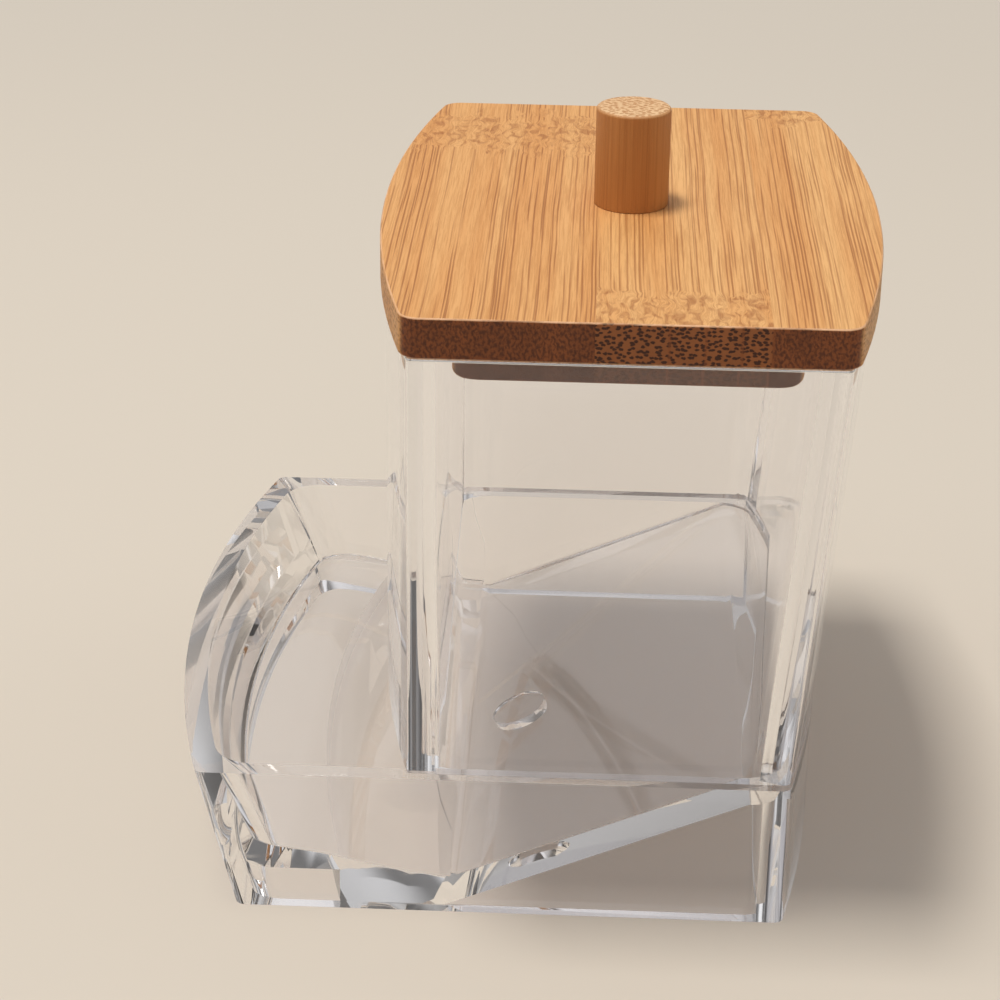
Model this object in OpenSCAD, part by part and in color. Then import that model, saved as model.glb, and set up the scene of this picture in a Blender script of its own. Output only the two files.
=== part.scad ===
// Cotton swab holder: a clear gravity-fed box with a pick-up tray and a bamboo lid.
// Millimetres, +Z up, Y runs along the swabs, the tray is on the -X side.

/* [Lid] */
// Length of the straight front edge of the lid
lid_w = 52; // [46:1:64]
// Depth of the lid from front edge to back edge
lid_d = 86; // [84:1:96]
// How far each curved side of the lid swells past its corners
lid_bulge = 5.3; // [4:0.1:8]
// Thickness of the board that shows above the box
lid_t = 5; // [4:0.5:10]
// Radius of the lid's upright corners
lid_corner_r = 2.6; // [1.5:0.1:5]
// Depth of the plug that drops into the box
plug_h = 4.6; // [2:0.2:8]
// Loose gap all round the plug
plug_gap = 3.2; // [0.4:0.1:4]
// How much rounder the plug's corners are than an even gap would make them
plug_ease = 1.8; // [0:0.1:3]

/* [Knob] */
// Diameter of the dowel knob
knob_d = 9.4; // [8:0.1:16]
// Height of the knob above the lid
knob_h = 12.6; // [8:0.1:20]
// Width of the eased edge round the knob's top
knob_arris = 0.4; // [0.2:0.1:1]
// Diameter of the tenon glued into the lid
tenon_d = 5; // [3:0.5:6]
// Length of the tenon
tenon_l = 4; // [2.5:0.5:5]

/* [Chamber] */
// Height of the chamber above the ledge of the base
chamber_h = 54.7; // [40:0.1:90]
// Thickness of the chamber's walls
chamber_wall = 2.4; // [1.8:0.1:3]
// Inner radius of the chamber's upright corners
chamber_in_r = 6; // [4:0.5:8]
// Outer radius of the chamber's upright corners
chamber_out_r = 0.8; // [0.5:0.1:1.5]
// How far the lid's edge stands out past the chamber
lid_overhang = 0.6; // [0.3:0.1:2]
// How far the chamber's right wall leans in at its foot
right_lean = 4.2; // [1:0.1:6]

/* [Tray base] */
// Height of the rim and of the ledge that carries the chamber
rim_z = 18.9; // [18:0.1:30]
// Width of the ledge left bare in front of the chamber
ledge = 1.4; // [0.8:0.1:2]
// Thickness of the base's front and back walls at the tray
base_wall = 2.5; // [2:0.1:3]
// Length of the tray's rim to the left of the chamber
tray_l = 25.9; // [20:0.1:50]
// Swelling of the tray's end wall
end_bulge = 6; // [4:0.1:8]
// Thickness of the tray's end wall at the rim
end_wall = 3; // [2:0.1:4]
// How far the outside of the end wall leans in at the ground
end_batter = 4.6; // [2:0.1:6]
// How far the inside of the end wall leans in at the shelf
tray_batter = 4.6; // [2:0.1:6]
// Outer radius of the base's upright corners
base_out_r = 1.3; // [0.8:0.1:2]
// Inner radius of the tray's corners
tray_in_r = 5; // [3:0.5:8]

/* [Floor] */
// Height of the shelf at the tray's end
shelf_z = 7.6; // [7:0.1:9]
// Height of the floor at its lowest line
low_z = 4; // [3.5:0.1:5]
// How far the lowest line lies to the right of the chamber's left foot
low_x = 6.4; // [5:0.1:10]
// Slope of the feed ramp in degrees, which runs up to the rim
ramp_angle = 23.2; // [22:0.1:26]
// Thickness of the floor and of the ramp
floor_t = 3; // [2.6:0.1:3.3]
// Thickness of the skirt round the underside
skirt_t = 2.6; // [2:0.1:3.2]
// Inner radius of the underside's corners
skirt_r = 4; // [3:0.5:8]
// Width of the hollow under the shelf at the middle of the tray's end
shelf_hollow = 10.4; // [8:0.2:14]
// Diameter of the round gate pad under the ramp
gate_d = 7.6; // [4:0.1:10]
// Height of the gate pad
gate_h = 1.2; // [0.4:0.1:1.5]
// Distance of the gate pad's middle from the lowest line
gate_x = 5.8; // [5:0.1:12]

/* [Hidden] */

clear_tint = [0.86, 0.87, 0.89, 0.35];
bamboo = [0.85, 0.63, 0.40];
bamboo_dowel = [0.72, 0.48, 0.27];

// Shapes are drawn a little longer than needed where they are trimmed or merged
over = 1;
fine = 96;
corner_facets = 6;

chamber_top = rim_z + chamber_h;
lid_top = chamber_top + lid_t;
foot_w = lid_w / 2 - lid_overhang;
right_foot = foot_w - right_lean;
chamber_d = lid_d - 2 * lid_overhang;
base_d = chamber_d + 2 * ledge;
tray_end = foot_w + tray_l;
lean_angle = atan(right_lean / chamber_h);
end_angle = atan(end_batter / rim_z);
tray_angle = atan(tray_batter / (rim_z - shelf_z));

// The chamber is set off so that the whole holder is centred on the origin
reach_left = tray_end + end_bulge;
reach_right = lid_w / 2 + lid_bulge;
chamber_x = (reach_left - reach_right) / 2;
reach = 2 * (reach_left + lid_d);

// Lines of the floor, from the lowest line up the ramp to the rim
low_line = low_x - foot_w;
ramp_rise = tan(ramp_angle);
ramp_end = low_line + (rim_z + over - low_z) / ramp_rise;

// Radius of the arc that swells a side by its bulge over its depth
function arc_radius(bulge, depth) = (bulge * bulge + depth * depth / 4) / (2 * bulge);

function flipped(points) =
    [for (i = [len(points) - 1 : -1 : 0]) [points[i][0], -points[i][1]]];

// Everything to the left of a swelling side on +X, its two corners eased by facets
module swelling_side(corner_x, bulge, depth, end_inset, side_inset, r) {
    arc_r = arc_radius(bulge, depth);
    arc_x = corner_x + bulge - arc_r;
    round_r = arc_r - end_inset - r;
    round_y = depth / 2 - side_inset - r;
    round_x = arc_x + sqrt(round_r * round_r - round_y * round_y);
    turn = asin(round_y / round_r);
    step = (90 - turn) / corner_facets;
    tip_r = r / cos(step / 2);
    tips = [
        for (i = [1 : corner_facets - 1])
            [round_x + tip_r * cos(turn + i * step), round_y + tip_r * sin(turn + i * step)]
    ];
    last = tips[corner_facets - 2];
    apex = [tips[0][0] + tips[0][1] * tan(turn + step / 2), 0];
    far = [last[0] - reach, last[1] + reach * tan(step / 2)];
    ease = concat(tips, [far]);
    intersection() {
        translate([arc_x, 0])
            circle(r = round_r + r, $fn = 4 * fine);
        polygon(concat([apex], ease, flipped(ease)));
    }
}

// Extrusion of a side that leans outwards by an angle as it rises past the rim
module leaning(corner_x, angle) {
    translate([corner_x, 0, rim_z])
        rotate([0, angle, 0])
            translate([-corner_x, 0, -chamber_top])
                linear_extrude(2 * chamber_top)
                    children();
}

module upright() {
    translate([0, 0, -chamber_top])
        linear_extrude(3 * chamber_top)
            children();
}

// Block of a given depth, centred front to back, between two heights
module block(depth, z0, z1) {
    translate([-reach / 2, -depth / 2, z0])
        cube([reach, depth, z1 - z0]);
}

// Profile in X and Z drawn out along Y, centred
module draw_out(depth) {
    translate([0, depth / 2, 0])
        rotate([90, 0, 0])
            linear_extrude(depth)
                children();
}

// Column with the chamber's outline, set in from its outer faces, between two heights
module chamber_column(inset, r, z0, z1) {
    intersection() {
        block(chamber_d - 2 * inset, z0, z1);
        mirror([1, 0, 0])
            upright()
                swelling_side(foot_w, lid_bulge, chamber_d, inset, inset, r);
        leaning(right_foot, lean_angle)
            swelling_side(right_foot, lid_bulge, chamber_d, inset, inset, r);
    }
}

module chamber() {
    color(clear_tint)
        translate([chamber_x, 0, 0])
            difference() {
                chamber_column(0, chamber_out_r, rim_z, chamber_top);
                chamber_column(chamber_wall, chamber_in_r, rim_z - over, chamber_top + over);
            }
}

module base_block() {
    intersection() {
        block(base_d, 0, rim_z);
        mirror([1, 0, 0])
            leaning(tray_end, end_angle)
                swelling_side(tray_end, end_bulge, base_d, 0, 0, base_out_r);
        upright()
            swelling_side(right_foot, lid_bulge, base_d, 0, 0, base_out_r);
    }
}

// Upper surface of the floor: shelf, easy fall to the lowest line, ramp
fall_steps = 8;
fall_start = -tray_end + end_wall + tray_batter;

module above_floor() {
    polygon(concat(
        [[-reach_left, rim_z + over], [-reach_left, shelf_z]],
        [for (i = [0 : fall_steps])
            [fall_start + (low_line - fall_start) * i / fall_steps,
             low_z + (shelf_z - low_z) * (1 + cos(180 * i / fall_steps)) / 2]],
        [[ramp_end, rim_z + over]]
    ));
}

// Line where the thicker wall under the chamber flares out towards the tray
leg_foot = low_line - 1;
leg_bend_z = 10.8;
leg_flare = 2.2;

module under_chamber() {
    polygon([
        [leg_foot, 0], [leg_foot, leg_bend_z],
        [leg_foot - leg_flare * 0.6, (leg_bend_z + rim_z) / 2],
        [leg_foot - leg_flare, rim_z + over],
        [reach_right, rim_z + over], [reach_right, 0]
    ]);
}

// Open space of the base: the tray, and the narrower part under the chamber
module tray_space() {
    difference() {
        intersection() {
            block(base_d - 2 * base_wall, 0, rim_z + over);
            mirror([1, 0, 0])
                leaning(tray_end, tray_angle)
                    swelling_side(tray_end, end_bulge, base_d, end_wall, base_wall, tray_in_r);
        }
        draw_out(base_d)
            under_chamber();
    }
}

module trough_space() {
    intersection() {
        block(chamber_d - 2 * chamber_wall, 0, rim_z + over);
        draw_out(base_d)
            under_chamber();
        upright()
            swelling_side(right_foot, lid_bulge, chamber_d,
                          chamber_wall, chamber_wall, chamber_in_r);
    }
}

module base_cavity() {
    intersection() {
        union() {
            tray_space();
            trough_space();
        }
        draw_out(base_d)
            above_floor();
    }
}

// Hollow under the ramp, inside the skirt, with a level ceiling below the rim
module ramp_hollow() {
    start = low_line + floor_t / sin(ramp_angle) - low_z / ramp_rise;
    ceiling = rim_z - floor_t;
    intersection() {
        block(base_d - 2 * skirt_t, -over, rim_z);
        upright()
            swelling_side(right_foot, lid_bulge, base_d, skirt_t, skirt_t, skirt_r);
        draw_out(base_d)
            polygon([
                [start - over / ramp_rise, -over], [start + ceiling / ramp_rise, ceiling],
                [reach_right, ceiling], [reach_right, -over]
            ]);
    }
}

// Crescent hollow under the shelf, between the end wall and the solid foot
module shelf_hollow_cut() {
    arc_r = arc_radius(end_bulge, base_d) - end_wall;
    foot_side = -tray_end - end_bulge + end_batter + end_wall + shelf_hollow;
    difference() {
        intersection() {
            block(base_d - 2 * skirt_t, -over, shelf_z - floor_t);
            mirror([1, 0, 0])
                leaning(tray_end, end_angle)
                    swelling_side(tray_end, end_bulge, base_d, end_wall, skirt_t, skirt_r);
        }
        translate([foot_side + arc_r, 0, -2 * over])
            cylinder(r = arc_r, h = rim_z, $fn = 4 * fine);
    }
}

// Round pad square to the ramp, standing out below it
module gate_pad() {
    translate([low_line, 0, low_z])
        rotate([0, -ramp_angle, 0])
            translate([gate_x, 0, -floor_t - gate_h])
                cylinder(d = gate_d, h = gate_h + floor_t / 2, $fn = fine);
}

module tray_base() {
    color(clear_tint)
        translate([chamber_x, 0, 0])
            union() {
                difference() {
                    base_block();
                    base_cavity();
                    ramp_hollow();
                    shelf_hollow_cut();
                }
                gate_pad();
            }
}

module lid_board() {
    intersection() {
        block(lid_d, chamber_top, lid_top);
        upright()
            swelling_side(lid_w / 2, lid_bulge, lid_d, 0, 0, lid_corner_r);
        mirror([1, 0, 0])
            upright()
                swelling_side(lid_w / 2, lid_bulge, lid_d, 0, 0, lid_corner_r);
    }
}

// Play between the tenon and the hole it is glued into
tenon_gap = 0.1;

module lid() {
    color(bamboo)
        translate([chamber_x, 0, 0])
            difference() {
                union() {
                    lid_board();
                    chamber_column(chamber_wall + plug_gap, chamber_in_r - plug_gap + plug_ease,
                                   chamber_top - plug_h, chamber_top + over);
                }
                translate([0, 0, lid_top - tenon_l - tenon_gap])
                    cylinder(d = tenon_d + 2 * tenon_gap, h = tenon_l + over, $fn = fine);
            }
}

module knob() {
    color(bamboo_dowel)
        translate([chamber_x, 0, lid_top])
            rotate_extrude($fn = fine)
                polygon([
                    [0, -tenon_l], [tenon_d / 2, -tenon_l], [tenon_d / 2, 0],
                    [knob_d / 2, 0], [knob_d / 2, knob_h - knob_arris],
                    [knob_d / 2 - knob_arris, knob_h], [0, knob_h]
                ]);
}

tray_base();
chamber();
lid();
knob();
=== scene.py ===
import math
import bpy
import bmesh
from mathutils import Matrix, Vector


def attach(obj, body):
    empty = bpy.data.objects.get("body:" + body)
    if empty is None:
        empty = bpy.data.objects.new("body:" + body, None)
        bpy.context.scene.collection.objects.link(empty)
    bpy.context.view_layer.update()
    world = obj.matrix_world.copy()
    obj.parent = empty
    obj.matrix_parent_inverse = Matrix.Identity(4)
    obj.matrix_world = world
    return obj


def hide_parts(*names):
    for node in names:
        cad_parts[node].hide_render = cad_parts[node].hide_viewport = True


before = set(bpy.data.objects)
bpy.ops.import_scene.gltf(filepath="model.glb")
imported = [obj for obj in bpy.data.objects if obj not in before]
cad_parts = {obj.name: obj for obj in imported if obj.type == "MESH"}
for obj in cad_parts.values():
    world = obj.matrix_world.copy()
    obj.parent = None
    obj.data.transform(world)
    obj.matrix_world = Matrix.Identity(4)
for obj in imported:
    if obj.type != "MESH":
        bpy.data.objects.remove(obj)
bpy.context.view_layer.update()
mm = 0.001

# Sizes of the CAD source, in millimetres
chamber_x = 13.0
lid_w, lid_d, lid_bulge, lid_t, lid_corner_r = 52.0, 86.0, 5.3, 5.0, 2.6
chamber_h, chamber_wall, chamber_in_r, chamber_out_r, lid_overhang = 54.7, 2.4, 6.0, 0.8, 0.6
right_lean, rim_z = 4.2, 18.9
plug_h, plug_gap, plug_ease = 4.6, 3.2, 1.8
knob_d, knob_h, tenon_d, tenon_l = 9.4, 12.6, 5.0, 4.0
foot_w = lid_w / 2 - lid_overhang
chamber_d = lid_d - 2 * lid_overhang
chamber_top = rim_z + chamber_h
lid_top = chamber_top + lid_t

# Eased edges and the small overlaps where pieces meet, in millimetres
lid_arris, knob_arris, knob_foot_r, knob_foot_gap, plug_sink = 0.35, 0.45, 0.1, 0.02, 0.5
rim_edge, seam, weld = 0.5, 0.06, 0.05
tray_edge_r, tray_fillet_r = 0.35, 1.2
gate_at, gate_reach = Vector((-0.2, 0.0, 5.0)) * mm, 5.5 * mm

# Steps of the curves
side_steps, corner_steps, flat_steps, edge_steps = 24, 26, 8, 3
tray_edge_steps, tray_fillet_steps, knob_steps = 3, 4, 96

# Angles in degrees that part smooth edges from sharp ones, and slopes as the normal's Z
smooth_deg, tray_smooth_deg, sharp_deg, level_deg = 50, 40, 28, 0.4
sheen_up, level_up, floor_up, wall_up = 0.15, 0.98, 0.85, 0.5
same_place = 1e-6

# Flow lines in the chamber's inner corners: size in mm, share of the height, steps,
# and each wave's size, rate and phase
flow_size, flow_top, flow_steps = 0.06, 0.62, 5
flow_waves = ((1.0, 31.0, 0.7), (0.6, 53.0, 0.0), (0.4, 17.0, 2.0))


def lerp(a, b, t):
    return a + (b - a) * t


# Camera, solved from the photograph
cam_at = Vector((9.32, -319.48, 184.585)) * mm
cam_pitch, cam_yaw, cam_roll = -0.434, 0.039, -0.013
focal_px, image_px, sensor_mm = 2630.95, 1000.0, 36.0
level_view = Matrix.Rotation(math.radians(90), 4, "X")

turn = (
    Matrix.Rotation(cam_yaw, 4, "Z")
    @ Matrix.Rotation(cam_pitch, 4, "X")
    @ Matrix.Rotation(cam_roll, 4, "Y")
    @ level_view
)
cam_data = bpy.data.cameras.new("camera")
cam_data.sensor_width = sensor_mm
cam_data.lens = focal_px * sensor_mm / image_px
cam_data.clip_start = 0.01
cam_data.clip_end = 20
camera = bpy.data.objects.new("camera", cam_data)
camera.matrix_world = Matrix.Translation(cam_at) @ turn
bpy.context.collection.objects.link(camera)
bpy.context.scene.camera = camera


# Mesh helpers

# Uneven waves round a corner, none at its ends
def flow_wave(size, t):
    waves = sum(part * math.sin(rate * t + phase) for part, rate, phase in flow_waves)
    return size * waves * math.sin(math.pi * t) ** 2


# Right half of a plan outline: two rounded corners joined by a bulging side
def half_outline(corner_x, bulge, depth, inset, r, ripple):
    half = depth / 2
    arc_r = (bulge * bulge + half * half) / (2 * bulge)
    arc_x = corner_x + bulge - arc_r
    in_r = arc_r - inset - r
    in_half = half - inset - r
    a0 = math.asin(in_half / in_r)
    cx = arc_x + in_r * math.cos(a0)
    pts = []
    for i in range(corner_steps + 1):
        a = lerp(-math.pi / 2, -a0, i / corner_steps)
        c = r + flow_wave(ripple, i / corner_steps)
        pts.append((cx + c * math.cos(a), -in_half + c * math.sin(a)))
    for i in range(1, side_steps):
        a = lerp(-a0, a0, i / side_steps)
        pts.append((arc_x + (in_r + r) * math.cos(a), (in_r + r) * math.sin(a)))
    for i in range(corner_steps + 1):
        a = lerp(a0, math.pi / 2, i / corner_steps)
        c = r + flow_wave(ripple, i / corner_steps)
        pts.append((cx + c * math.cos(a), in_half + c * math.sin(a)))
    return pts


def outline(left, right, bulge, depth, inset, r, ripple=0.0):
    east = half_outline(right, bulge, depth, inset, r, ripple)
    west = [(-x, -y) for x, y in half_outline(left, bulge, depth, inset, r, ripple)]
    pts = []
    for run, nxt in ((east, west), (west, east)):
        pts += run
        a, b = run[-1], nxt[0]
        for i in range(1, flat_steps):
            t = i / flat_steps
            pts.append((lerp(a[0], b[0], t), lerp(a[1], b[1], t)))
    return pts


# Skin over a stack of rings; a closed stack joins its last ring to its first, an open one is capped
def loft(name, rings, closed=False):
    n = len(rings[0][1])
    verts = [((chamber_x + x) * mm, y * mm, z * mm) for z, pts in rings for x, y in pts]
    faces = []
    count = len(rings)
    for k in range(count if closed else count - 1):
        a0, b0 = k * n, ((k + 1) % count) * n
        for i in range(n):
            j = (i + 1) % n
            faces.append((a0 + i, a0 + j, b0 + j, b0 + i))
    if not closed:
        faces.append(tuple(range(n - 1, -1, -1)))
        faces.append(tuple((count - 1) * n + i for i in range(n)))
    mesh = bpy.data.meshes.new(name)
    mesh.from_pydata(verts, [], faces)
    mesh.update()
    bm = bmesh.new()
    bm.from_mesh(mesh)
    bmesh.ops.recalc_face_normals(bm, faces=bm.faces)
    bm.to_mesh(mesh)
    bm.free()
    return mesh


def add_object(name, mesh, material, body, node):
    obj = bpy.data.objects.new(name, mesh)
    bpy.context.collection.objects.link(obj)
    mesh.materials.clear()
    mesh.materials.append(material)
    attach(obj, body)
    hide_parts(node)
    return obj


def shade(mesh, angle):
    mesh.shade_smooth()
    mesh.set_sharp_from_angle(angle=math.radians(angle))


# Broad faces keep their own normals, so flat walls don't act as lenses
def flatten_normals(obj):
    weighted = obj.modifiers.new("weighted", "WEIGHTED_NORMAL")
    weighted.mode = "FACE_AREA"
    weighted.weight = 100
    weighted.keep_sharp = True


# Rounded edge between two faces of a ring stack, as (inset, height) steps
def eased(z, r, rising):
    out = []
    for i in range(edge_steps + 1):
        a = math.pi / 2 * i / edge_steps
        if rising:
            out.append((r * (1 - math.cos(a)), z - r + r * math.sin(a)))
        else:
            out.append((r * (1 - math.sin(a)), z + r - r * math.cos(a)))
    return out


# Node helpers

def node(nt, kind, inputs=None, **props):
    n = nt.nodes.new(kind)
    for key, value in props.items():
        setattr(n, key, value)
    for key, value in (inputs or {}).items():
        if isinstance(value, bpy.types.NodeSocket):
            nt.links.new(value, n.inputs[key])
        else:
            n.inputs[key].default_value = value
    return n


def new_material(name):
    mat = bpy.data.materials.new(name)
    mat.use_nodes = True
    nt = mat.node_tree
    nt.nodes.clear()
    return mat, nt


def math_node(nt, op, a, b=0.0, c=0.0):
    return node(nt, "ShaderNodeMath", {0: a, 1: b, 2: c}, operation=op).outputs[0]


def plus(nt, a, b):
    return math_node(nt, "ADD", a, b)


def minus(nt, a, b):
    return math_node(nt, "SUBTRACT", a, b)


def times(nt, a, b):
    return math_node(nt, "MULTIPLY", a, b)


def larger(nt, a, b):
    return math_node(nt, "MAXIMUM", a, b)


# 1 where the value lies between the two ends, 0 elsewhere
def between(nt, value, lo, hi):
    return times(nt, math_node(nt, "GREATER_THAN", value, lo), math_node(nt, "LESS_THAN", value, hi))


def distance(nt, a, b):
    return math_node(nt, "ABSOLUTE", minus(nt, a, b))


def remap(nt, value, lo, hi, to_lo=0.0, to_hi=1.0, smooth=False):
    n = node(nt, "ShaderNodeMapRange", {"Value": value, "From Min": lo, "From Max": hi,
                                         "To Min": to_lo, "To Max": to_hi})
    if smooth:
        n.interpolation_type = "SMOOTHSTEP"
    return n.outputs["Result"]


def mix_value(nt, fac, a, b):
    return node(nt, "ShaderNodeMix", {0: fac, 2: a, 3: b}).outputs[0]


def mix_colour(nt, fac, a, b):
    return node(nt, "ShaderNodeMix", {0: fac, 6: a, 7: b}, data_type="RGBA").outputs[2]


def mix_shader(nt, fac, a, b):
    return node(nt, "ShaderNodeMixShader", {0: fac, 1: a.outputs[0], 2: b.outputs[0]})


def noise(nt, vector, scale, detail, **inputs):
    inputs.update({"Vector": vector, "Scale": scale, "Detail": detail})
    return node(nt, "ShaderNodeTexNoise", inputs).outputs


# The middle half of a noise's range, spread from -size to size
def swing(nt, value, size):
    return remap(nt, value, 0.25, 0.75, -size, size)


# Point whose coordinates are the given values, each times its own scale
def stretched(nt, *pairs):
    inputs = {i: times(nt, value, scale) for i, (value, scale) in enumerate(pairs)}
    return node(nt, "ShaderNodeCombineXYZ", inputs).outputs[0]


# Round dark cores at random places: 1 within the first radius, 0 beyond the second
def dark_core(nt, vector, core):
    cell = node(nt, "ShaderNodeTexVoronoi", {"Vector": vector, "Scale": 1.0, "Randomness": 0.95},
                voronoi_dimensions="2D")
    return remap(nt, cell.outputs["Distance"], *core, 1.0, 0.0, smooth=True)


def srgb(r, g, b):
    def lin(c):
        c /= 255
        return c / 12.92 if c <= 0.04045 else ((c + 0.055) / 1.055) ** 2.4
    return (lin(r), lin(g), lin(b), 1.0)


# Clear polished plastic with a few faint scuffs; the sheen share mixes in a painted sheen, a pale
# metallic gleam that stands in for edge highlights.
# Past deep_bends, and for shadow and diffuse rays, it is plainly see-through.
scuff_scale, scuff_range, scuff_rough = 260.0, (0.62, 0.78), 0.06
plastic_tint, plastic_ior = (0.985, 0.98, 0.988, 1.0), 1.53
through_tint, deep_bends = (0.95, 0.947, 0.955, 1.0), 9.5
# Painted sheen on the edges: tint, roughness and share of the metallic gleam
gleam_tint, gleam_rough, edge_sheen_share = (0.97, 0.965, 0.96, 1.0), 0.25, 0.75


def clear_plastic(name, sheen_share=0.0):
    mat, nt = new_material(name)
    coord = node(nt, "ShaderNodeTexCoord").outputs["Object"]
    scuff = noise(nt, coord, scuff_scale, 1.0)["Fac"]
    rough = remap(nt, scuff, *scuff_range, 0.0, scuff_rough, smooth=True)
    glass = node(nt, "ShaderNodeBsdfPrincipled", {
        "Base Color": plastic_tint, "Roughness": rough, "IOR": plastic_ior,
        "Transmission Weight": 1.0})
    through = node(nt, "ShaderNodeBsdfTransparent", {"Color": through_tint})
    path = node(nt, "ShaderNodeLightPath").outputs
    deep = math_node(nt, "GREATER_THAN", path["Ray Depth"], deep_bends)
    plain = larger(nt, larger(nt, deep, path["Is Shadow Ray"]), path["Is Diffuse Ray"])
    surface = mix_shader(nt, plain, glass, through)
    if sheen_share:
        gleam = node(nt, "ShaderNodeBsdfPrincipled", {
            "Base Color": gleam_tint, "Metallic": 1.0, "Roughness": gleam_rough})
        surface = mix_shader(nt, sheen_share, surface, gleam)
    node(nt, "ShaderNodeOutputMaterial", {"Surface": surface.outputs[0]})
    return mat


# Bamboo: lengths in metres, scales per metre.
# Vascular bundles run along one axis, as thin dark lines on the faces and as dots on the ends.
sway_scale, sway_size = 24.0, 0.0005
strip_slip, strip_shade = 0.0371, 0.35
ragged_scale, ragged_size = 260.0, 0.003
drift_scales, drift_size = (900.0, 26.0), 0.00022
curl_scales, curl_size = (620.0, 230.0), 0.0006
bundle_scales, bundle_core = (2400.0, 2100.0), (0.13, 0.37)
fine_scales, fine_range = (5200.0, 3000.0, 110.0), (0.42, 0.62)
patch_scales, patch_range = (330.0, 200.0, 12.0), (0.30, 0.70)
chip_scales, chip_range, knot_share = (1000.0, 420.0), (0.46, 0.66), 0.7
line_pale, fine_share, line_share = 0.75, 0.30, 0.76
rumple_scale, rumple_size = 2300.0, 0.00009
big_dot_scales, big_dot_core = (1350.0, 2100.0), (0.26, 0.46)
mottle_scales, mottle_range, mottle_share = (3200.0, 1900.0), (0.38, 0.66), 0.75
dot_share, end_shade, dense_shade = 0.9, 0.2, 0.25
arris_from, arris_to, arris_wear, dowel_arris = (0.30, 0.55), (0.85, 0.96), (0.3, 0.9), 0.2
board_end, dowel_end = (0.45, 0.75), (0.80, 0.93)
# On the plug below plug_edge: fewer dots, and its end grain darkened toward end_dot as painted shade
plug_edge, plug_dots, plug_painted_shade = ((chamber_top - 0.2) * mm, chamber_top * mm), 0.3, 0.45
seam_half, seam_share = (0.00006, 0.00022), 0.55
groove_depth, line_groove, fine_groove = 0.00008, 0.8, 0.5


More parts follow.
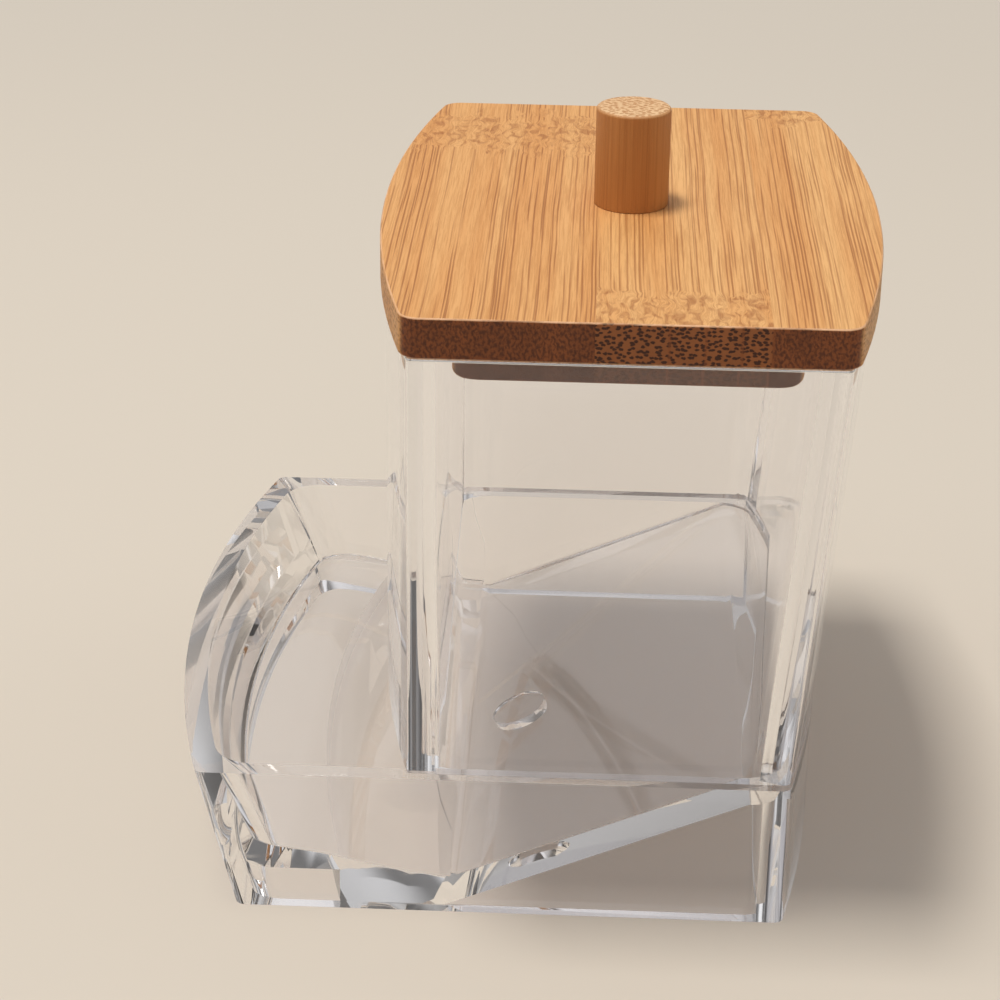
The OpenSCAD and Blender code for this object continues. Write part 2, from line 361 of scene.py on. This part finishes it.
def bamboo(name, along, light, deep, line, end_light, end_dot, pale, line_end,
           dense, strips=(), knots=(), seams=(), contrast=1.0):
    is_board = along == "Y"
    mat, nt = new_material(name)
    coord = node(nt, "ShaderNodeTexCoord").outputs["Object"]
    x, y, z = node(nt, "ShaderNodeSeparateXYZ", {0: coord}).outputs
    run, up = (y, z) if is_board else (z, y)
    sway = noise(nt, coord, sway_scale, 1.0)["Fac"]
    across = plus(nt, x, remap(nt, sway, 0.0, 1.0, -sway_size, sway_size))
    strip = 0.0
    for at in strips:
        strip = plus(nt, math_node(nt, "GREATER_THAN", x, at), strip)
    slip = times(nt, strip, strip_slip)
    across = plus(nt, across, slip)
    in_dense = between(nt, x, *dense)

    # Ragged band at each knot of the stalk, where the bundles break into dashes
    ragged = noise(nt, coord, ragged_scale, 2.0)["Fac"]
    edge = remap(nt, ragged, 0.3, 0.7, -ragged_size, ragged_size)
    knot = 0.0
    for at, half, lo, hi in knots:
        off = distance(nt, plus(nt, run, edge), at)
        band = remap(nt, off, half * 0.5, half, 1.0, 0.0, smooth=True)
        knot = larger(nt, times(nt, band, between(nt, x, lo, hi)), knot)

    # Bundles drift up and down along their run, so each line swells, thins and ends
    drift_at = stretched(nt, *zip((across, run), drift_scales))
    level = plus(nt, up, swing(nt, noise(nt, drift_at, 1.0, 1.0)["Fac"], drift_size))

    # In a knot the bundles curl and tangle
    curl_at = stretched(nt, *zip((across, run), curl_scales))
    curl_noise = noise(nt, curl_at, 1.0, 1.0)["Color"]
    curl = node(nt, "ShaderNodeSeparateColor", {0: curl_noise}).outputs
    across = plus(nt, across, times(nt, knot, swing(nt, curl[0], curl_size)))
    level = plus(nt, level, times(nt, knot, swing(nt, curl[1], curl_size)))

    # Long grain: bundles, finer fibres between them, and patches of deeper tone
    bundles = dark_core(nt, stretched(nt, *zip((across, level), bundle_scales)), bundle_core)
    fine_at = stretched(nt, *zip((across, level, run), fine_scales))
    fine = remap(nt, noise(nt, fine_at, 1.0, 3.0, Roughness=0.7)["Fac"], *fine_range, smooth=True)
    patch_at = stretched(nt, *zip((across, level, run), patch_scales))
    tone = remap(nt, noise(nt, patch_at, 1.0, 2.0, Roughness=0.5)["Fac"], *patch_range, smooth=True)
    chip_at = stretched(nt, *zip((across, run), chip_scales))
    chips = remap(nt, noise(nt, chip_at, 1.0, 1.0, Distortion=0.5)["Fac"], *chip_range, smooth=True)
    lines = times(nt, bundles, remap(nt, tone, 0.0, 1.0, line_pale, 1.0))
    lines = mix_value(nt, times(nt, knot, knot_share), lines, chips)
    colour = mix_colour(nt, tone, light, deep)
    if strips:
        colour = mix_colour(nt, remap(nt, strip, 0.0, 1.0, strip_shade, 0.0), colour, deep)
    colour = mix_colour(nt, times(nt, fine, fine_share * contrast), colour, line)
    colour = mix_colour(nt, times(nt, lines, line_share * contrast), colour, line)

    # Where the end grain shows, on the faces that cross the fibres, and the pale sanded arris
    normal = node(nt, "ShaderNodeTexCoord").outputs["Normal"]
    tilt = node(nt, "ShaderNodeSeparateXYZ", {0: normal}).outputs
    facing = math_node(nt, "ABSOLUTE", tilt[1] if is_board else tilt[2])
    slope = times(nt, remap(nt, tilt[2], *arris_from, smooth=True),
                  remap(nt, tilt[2], *arris_to, 1.0, 0.0, smooth=True))
    wear = remap(nt, ragged, 0.35, 0.6, *arris_wear) if is_board else dowel_arris
    arris = times(nt, slope, wear)
    end = remap(nt, facing, *board_end, smooth=True) if is_board else remap(nt, facing, *dowel_end)

    # End grain: big dots in the dense strip, mottle elsewhere
    rumple = swing(nt, noise(nt, coord, rumple_scale, 1.0)["Fac"], rumple_size)
    section = (plus(nt, plus(nt, x, slip), rumple), minus(nt, up, rumple))
    big_dots = dark_core(nt, stretched(nt, *zip(section, big_dot_scales)), big_dot_core)
    mottle = noise(nt, stretched(nt, *zip(section, mottle_scales)), 1.0, 2.0)["Fac"]
    small_dots = remap(nt, mottle, *mottle_range, 0.0, mottle_share, smooth=True)
    dots = mix_value(nt, in_dense, small_dots, big_dots)
    end_tone = mix_colour(nt, tone, end_light, mix_colour(nt, end_shade, end_light, end_dot))
    end_tone = mix_colour(nt, times(nt, in_dense, dense_shade), end_tone, line_end)
    # The plug under the lid is darkened toward end_dot: painted shade
    if is_board:
        dots = times(nt, dots, remap(nt, z, *plug_edge, plug_dots, 1.0))
        end_tone = mix_colour(nt, remap(nt, z, *plug_edge, plug_painted_shade, 0.0), end_tone, end_dot)
    end_colour = mix_colour(nt, times(nt, dots, dot_share), end_tone, end_dot)
    for at in seams:
        gap = distance(nt, x, at)
        end_colour = mix_colour(nt, remap(nt, gap, *seam_half, seam_share, 0.0), end_colour, end_light)
    colour = mix_colour(nt, end, colour, end_colour)
    colour = mix_colour(nt, arris, colour, pale)

    # Grooves where the grain is dark, under a thin satin coat
    grooves = larger(nt, times(nt, lines, line_groove), times(nt, fine, fine_groove))
    height = minus(nt, 1.0, mix_value(nt, end, grooves, dots))
    bump = node(nt, "ShaderNodeBump", {"Strength": 0.45, "Distance": groove_depth, "Height": height})
    wood = node(nt, "ShaderNodeBsdfPrincipled", {
        "Base Color": colour, "Roughness": remap(nt, fine, 0.0, 1.0, 0.48, 0.62),
        "Normal": bump.outputs["Normal"], "Specular IOR Level": 0.35,
        "Coat Weight": 0.04, "Coat Roughness": 0.4})
    node(nt, "ShaderNodeOutputMaterial", {"Surface": wood.outputs[0]})
    return mat


# The board is glued from strips that meet at two joints; its knots and seams lie within them
joint_a, joint_b = (chamber_x - 4.0) * mm, (chamber_x + 16.0) * mm
beyond = 1.0
board_knots = ((0.029, 0.010, -beyond, joint_a), (-0.040, 0.009, joint_a, joint_b),
               (0.042, 0.007, joint_b, beyond))
board_seams = (joint_a + 8.4 * mm, joint_a + 12.5 * mm, joint_a + 16.6 * mm, joint_b)

clear = clear_plastic("clear_plastic")
clear_painted_sheen = clear_plastic("clear_painted_sheen", edge_sheen_share)
board = bamboo("bamboo_board", "Y",
               light=srgb(232, 179, 116), deep=srgb(220, 158, 94), line=srgb(152, 90, 40),
               end_light=srgb(146, 80, 38), end_dot=srgb(50, 18, 6),
               pale=srgb(240, 190, 146), line_end=srgb(196, 128, 74),
               dense=(joint_a, joint_b), strips=(joint_a, joint_b),
               knots=board_knots, seams=board_seams)
dowel = bamboo("bamboo_dowel", "Z",
               light=srgb(206, 144, 84), deep=srgb(196, 132, 74), line=srgb(168, 106, 56),
               end_light=srgb(227, 188, 142), end_dot=srgb(182, 126, 76),
               pale=srgb(236, 200, 158), line_end=srgb(231, 196, 152),
               dense=(-beyond, beyond), contrast=0.45)


# Chamber: four walls with eased edges; its foot sinks a hair into the ledge that it is welded to
def chamber_ring(z, inset, r, ripple=0.0):
    t = (z - rim_z) / chamber_h
    right = lerp(foot_w - right_lean, foot_w, t)
    return outline(foot_w, right, lid_bulge, chamber_d, inset, r, ripple)


rings = [(rim_z - weld, chamber_ring(rim_z, 0, chamber_out_r))]
rings += [(z, chamber_ring(z, inset, chamber_out_r))
          for inset, z in eased(chamber_top - seam, rim_edge, True)]
rings += [(z, chamber_ring(z, chamber_wall - inset, chamber_in_r))
          for inset, z in reversed(eased(chamber_top - seam, rim_edge, True))]
for i in range(flow_steps, -1, -1):
    t = i / flow_steps
    z = rim_z - weld + flow_top * chamber_h * t
    rings.append((z, chamber_ring(z, chamber_wall, chamber_in_r, flow_size * (1 - t) ** 2)))
mesh = loft("chamber_walls", rings, closed=True)
shade(mesh, smooth_deg)
flatten_normals(add_object("chamber_walls", mesh, clear, "holder", "chamber"))
# Eased faces that face up take the painted sheen material
mesh.materials.append(clear_painted_sheen)
for face in mesh.polygons:
    if sheen_up < face.normal.z < level_up:
        face.material_index = 1


# Tray base: the CAD solid with its sharp edges eased and its floor's edges filleted
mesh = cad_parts["tray_base"].data.copy()
mesh.name = "tray_body"
bm = bmesh.new()
bm.from_mesh(mesh)
bmesh.ops.remove_doubles(bm, verts=bm.verts, dist=same_place)
bmesh.ops.dissolve_limit(bm, angle_limit=math.radians(level_deg), verts=bm.verts, edges=bm.edges,
                         use_dissolve_boundaries=False)


def sharp_edges():
    return [edge for edge in bm.edges if edge.calc_face_angle(0.0) > math.radians(sharp_deg)]


def meets_floor(edge):
    low = min(abs(face.normal.z) for face in edge.link_faces)
    high = max(face.normal.z for face in edge.link_faces)
    return not edge.is_convex and high > floor_up and low < wall_up


bmesh.ops.bevel(bm, geom=[edge for edge in sharp_edges() if meets_floor(edge)],
                offset=tray_fillet_r * mm, segments=tray_fillet_steps, profile=0.5,
                affect="EDGES", clamp_overlap=True, material=-1)
# The eased edges take the second material, the painted sheen
bmesh.ops.bevel(bm, geom=sharp_edges(), offset=tray_edge_r * mm, segments=tray_edge_steps,
                profile=0.5, affect="EDGES", clamp_overlap=True, material=1)

# Only edges that face up keep the painted sheen, except the gate's, which keep it all round
for face in bm.faces:
    on_gate = (face.calc_center_median() - gate_at).length < gate_reach
    if face.material_index == 1 and face.normal.z < sheen_up and not on_gate:
        face.material_index = 0
bm.to_mesh(mesh)
bm.free()
tray = add_object("tray_body", mesh, clear, "holder", "tray_base")
mesh.materials.append(clear_painted_sheen)
shade(mesh, tray_smooth_deg)
flatten_normals(tray)


# Lid board with its plug
def lid_ring(inset):
    return outline(lid_w / 2, lid_w / 2, lid_bulge, lid_d, inset, lid_corner_r - inset)


rings = [(z, lid_ring(inset)) for inset, z in eased(chamber_top, lid_arris, False)]
rings += [(z, lid_ring(inset)) for inset, z in eased(lid_top, lid_arris, True)]
lid_mesh = loft("lid_board", rings)
plug_foot = chamber_top - plug_h
plug_in = chamber_wall + plug_gap
plug_r = chamber_in_r - plug_gap + plug_ease
rings = [(z, chamber_ring(plug_foot, plug_in + inset, plug_r - inset))
         for inset, z in eased(plug_foot, lid_arris, False)]
rings.append((chamber_top + plug_sink, chamber_ring(plug_foot, plug_in, plug_r)))
plug_mesh = loft("lid_plug", rings)
bm = bmesh.new()
bm.from_mesh(lid_mesh)
bm.from_mesh(plug_mesh)
bm.to_mesh(lid_mesh)
bm.free()
shade(lid_mesh, smooth_deg)
flatten_normals(add_object("lid_board", lid_mesh, board, "lid", "lid"))


# Dowel knob, turned about its axis from the foot of its tenon up
knob_r, tenon_r = knob_d / 2, tenon_d / 2
profile = [(tenon_r, -tenon_l), (tenon_r, -knob_foot_gap), (knob_r - knob_foot_r, 0.0),
           (knob_r, knob_foot_r)]
profile += [(knob_r - inset, z) for inset, z in eased(knob_h, knob_arris, True)]
verts, faces = [(chamber_x * mm, 0, (lid_top - tenon_l) * mm)], []
for r, z in profile:
    for i in range(knob_steps):
        a = 2 * math.pi * i / knob_steps
        verts.append(((chamber_x + r * math.cos(a)) * mm, r * math.sin(a) * mm, (lid_top + z) * mm))
for i in range(knob_steps):
    faces.append((0, 1 + (i + 1) % knob_steps, 1 + i))
for k in range(len(profile) - 1):
    for i in range(knob_steps):
        j = (i + 1) % knob_steps
        b = 1 + k * knob_steps
        faces.append((b + i, b + j, b + knob_steps + j, b + knob_steps + i))
faces.append(tuple(1 + (len(profile) - 1) * knob_steps + i for i in range(knob_steps)))
mesh = bpy.data.meshes.new("knob_dowel")
mesh.from_pydata(verts, [], faces)
shade(mesh, smooth_deg)
flatten_normals(add_object("knob_dowel", mesh, dowel, "lid", "knob"))


# Floor, which fades into the plain backdrop well away from the object; lengths in metres
floor_colour = srgb(214, 205, 192)
fade_range, floor_reach, floor_z = (0.22, 0.75), 6.0, -0.0001
mat, nt = new_material("floor")
near_floor = node(nt, "ShaderNodeBsdfDiffuse", {"Color": floor_colour})
far_floor = node(nt, "ShaderNodeEmission", {"Color": floor_colour, "Strength": 1.0})
place = node(nt, "ShaderNodeTexCoord").outputs["Object"]
away = node(nt, "ShaderNodeVectorMath", {0: place}, operation="LENGTH").outputs["Value"]
path = node(nt, "ShaderNodeLightPath").outputs
seen = larger(nt, path["Is Camera Ray"], path["Is Glossy Ray"])
seen = larger(nt, seen, path["Is Transmission Ray"])
fade = times(nt, seen, remap(nt, away, *fade_range, smooth=True))
surface = mix_shader(nt, fade, near_floor, far_floor)
node(nt, "ShaderNodeOutputMaterial", {"Surface": surface.outputs[0]})
corners = [(x * floor_reach, y * floor_reach, floor_z) for x, y in ((-1, -1), (1, -1), (1, 1), (-1, 1))]
mesh = bpy.data.meshes.new("floor")
mesh.from_pydata(corners, [], [(0, 1, 2, 3)])
mesh.materials.append(mat)
floor = bpy.data.objects.new("floor", mesh)
bpy.context.collection.objects.link(floor)


# World: a grey sky that brightens upwards, with light and dark panels round it.
# The panels are two waves of the bearing, and fade out near the zenith.
sky_low, sky_high, sky_range = (0.20, 0.19, 0.18, 1.0), (0.80, 0.80, 0.81, 1.0), (0.05, 0.75)
wide_rate, wide_phase, narrow_rate, narrow_share = 4.0, 1.0, 7.0, 0.6
panel_range, panel_light, zenith_range, sky_strength = (-1.0, 1.1), (0.25, 1.75), (0.75, 0.92), 0.72
world = bpy.data.worlds.new("world")
bpy.context.scene.world = world
world.use_nodes = True
nt = world.node_tree
nt.nodes.clear()
path = node(nt, "ShaderNodeLightPath").outputs
generated = node(nt, "ShaderNodeTexCoord").outputs["Generated"]
sky = node(nt, "ShaderNodeSeparateXYZ", {0: generated}).outputs
gradient = mix_colour(nt, remap(nt, sky[2], *sky_range, smooth=True), sky_low, sky_high)
bearing = math_node(nt, "ARCTAN2", sky[1], sky[0])
wide = math_node(nt, "SINE", math_node(nt, "MULTIPLY_ADD", bearing, wide_rate, wide_phase))
narrow = math_node(nt, "SINE", times(nt, bearing, narrow_rate))
panels = plus(nt, wide, times(nt, narrow, narrow_share))
panel = remap(nt, panels, *panel_range, *panel_light, smooth=True)
level = mix_value(nt, remap(nt, sky[2], *zenith_range, smooth=True), panel, 1.0)
strength = times(nt, level, sky_strength)
soft = node(nt, "ShaderNodeBackground", {"Color": gradient, "Strength": strength})
plain = node(nt, "ShaderNodeBackground", {"Color": floor_colour, "Strength": 1.0})
backdrop = mix_shader(nt, path["Is Camera Ray"], soft, plain)
node(nt, "ShaderNodeOutputWorld", {"Surface": backdrop.outputs[0]})


# Key lamp, high on the left
key_at, key_target, key_size = Vector((-0.20, -0.015, 1.15)), Vector((0.0, 0.0, 0.03)), (0.30, 0.18)
key_watts, key_colour = 8.4, (1.0, 0.96, 0.90)
lamp = bpy.data.lights.new("key", "AREA")
lamp.shape = "RECTANGLE"
lamp.size, lamp.size_y = key_size
lamp.energy = key_watts
lamp.color = key_colour
key = bpy.data.objects.new("key", lamp)
key.location = key_at
key.rotation_euler = (key_target - key_at).to_track_quat("-Z", "Y").to_euler()
bpy.context.collection.objects.link(key)


# Light passes through many clear faces, so it may bend often
bends = 24
scene = bpy.context.scene
scene.view_settings.view_transform = "Standard"
scene.cycles.max_bounces = bends
scene.cycles.glossy_bounces = bends
scene.cycles.transmission_bounces = bends
scene.cycles.transparent_max_bounces = bends
scene.cycles.caustics_refractive = False
scene.cycles.caustics_reflective = False
